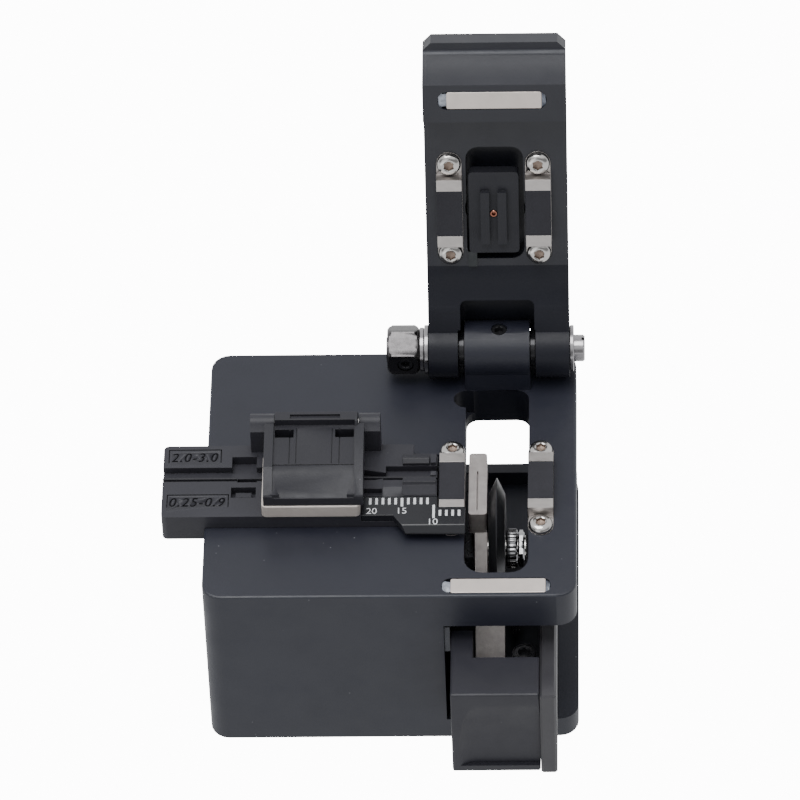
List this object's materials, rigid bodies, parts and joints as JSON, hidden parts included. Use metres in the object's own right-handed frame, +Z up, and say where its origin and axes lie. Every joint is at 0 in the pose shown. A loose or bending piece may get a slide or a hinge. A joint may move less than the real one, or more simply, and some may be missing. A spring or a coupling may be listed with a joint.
{
  "type": "optical fibre cleaver",
  "caption": "Bench-top precision fibre cleaver: slotted metal body, hinged pressing lid held by magnets, flap-type fibre holder with a millimetre scale, and a sliding blade carriage.",
  "frame": {"origin": "middle of the body's footprint, on the surface the rubber mat rests on", "axes": "+Z up, +Y from the body's front (the carriage handle's side) to the lid hinge, +X to the right towards the bay's open side"},
  "size_m": [0.0667, 0.0804, 0.0906],
  "materials": {
    "anodised_body": "fine satin blue-black anodised",
    "anodised_lid": "fine satin blue-black anodised",
    "anodised_carriage": "satin black anodised",
    "rubber": "matt black rubber",
    "nickel_plate": "satin nickel plate",
    "holder_plastic": "moulded black plastic, fine texture",
    "anvil_plastic": "moulded black plastic",
    "gloss_scale": "glossy black with a white millimetre scale",
    "copper_tone": "bright copper-coloured screw end",
    "carbide": "ground carbide",
    "clamp_steel": "ground steel",
    "hinge_chrome": "bright plated steel",
    "screw_steel": "bright stainless steel",
    "black_steel": "blackened steel",
    "strip_steel": "grey spring strip",
    "arm_steel": "sintered steel, fine grain",
    "rail_steel": "ground steel"
  },
  "bodies": {
    "body": {"base_mat": "rubber", "deck_magnet": "nickel_plate", "flap_pin": "screw_steel", "guide_front": "holder_plastic", "guide_rear": "holder_plastic", "hinge_nut": "hinge_chrome", "hinge_nut_screw": "black_steel", "hinge_pin": "hinge_chrome", "holder_base": "holder_plastic", "knuckle_screw": "black_steel", "linear_rail": "rail_steel", "lower_clamp_left": "clamp_steel", "lower_clamp_right": "clamp_steel", "lower_pad_left": "rubber", "lower_pad_right": "rubber", "lower_screw_left_front": "screw_steel", "lower_screw_left_rear": "screw_steel", "lower_screw_right_front": "screw_steel", "lower_screw_right_rear": "screw_steel", "main_body": "anodised_body", "scale_plate": "gloss_scale", "washer_knuckle_left": "hinge_chrome", "washer_knuckle_right": "hinge_chrome", "washer_left_inner": "hinge_chrome", "washer_left_outer": "hinge_chrome", "washer_right_outer": "hinge_chrome"},
    "lid": {"upper_clamp_left": "clamp_steel", "upper_clamp_right": "clamp_steel", "upper_pad_left": "rubber", "upper_pad_right": "rubber", "upper_screw_left_front": "screw_steel", "upper_screw_left_rear": "screw_steel", "upper_screw_right_front": "screw_steel", "upper_screw_right_rear": "screw_steel", "lid_body": "anodised_lid", "lid_magnet": "nickel_plate", "anvil_guide_strip": "strip_steel"},
    "anvil": {"anvil_block": "anvil_plastic", "anvil_screw": "copper_tone"},
    "flap": {"flap_body": "holder_plastic", "flap_pad": "rubber", "flap_plate": "nickel_plate"},
    "carriage": {"carriage_body": "anodised_carriage", "side_plate": "anodised_carriage", "side_plate_screw_front": "screw_steel", "side_plate_screw_rear": "screw_steel", "height_screw": "black_steel", "blade_bracket": "arm_steel", "rail_runner": "rail_steel", "index_wheel_pin": "screw_steel"},
    "blade": {"blade": "carbide", "blade_dial": "screw_steel", "blade_nut": "screw_steel", "blade_shaft": "screw_steel"},
    "index_wheel": {"index_wheel": "screw_steel"}
  },
  "joints": [
    {"name": "lid_hinge", "type": "hinge", "parent": "body", "child": "lid", "pos_m": [0.017, 0.02244, 0.03909], "axis": [1, 0, 0], "range_deg": [0, 106.5]},
    {"name": "anvil_press", "type": "slide", "parent": "lid", "child": "anvil", "axis": [0, 0.9588, -0.284], "range_m": [0, 0.001], "stiffness_N_per_m": 300, "springref_m": -0.002},
    {"name": "flap_hinge", "type": "hinge", "parent": "body", "child": "flap", "pos_m": [-0.012, 0.0045, 0.0411], "axis": [-1, 0, 0], "range_deg": [0, 100]},
    {"name": "carriage_slide", "type": "slide", "parent": "body", "child": "carriage", "axis": [0, 1, 0], "range_m": [0, 0.0105]},
    {"name": "blade_turn", "type": "hinge", "parent": "carriage", "child": "blade", "pos_m": [0.0167, -0.008, 0.02505], "axis": [1, 0, 0], "continuous": true},
    {"name": "index_wheel_turn", "type": "hinge", "parent": "carriage", "child": "index_wheel", "pos_m": [0.01935, -0.0129, 0.015], "axis": [1, 0, 0], "continuous": true}
  ]
}
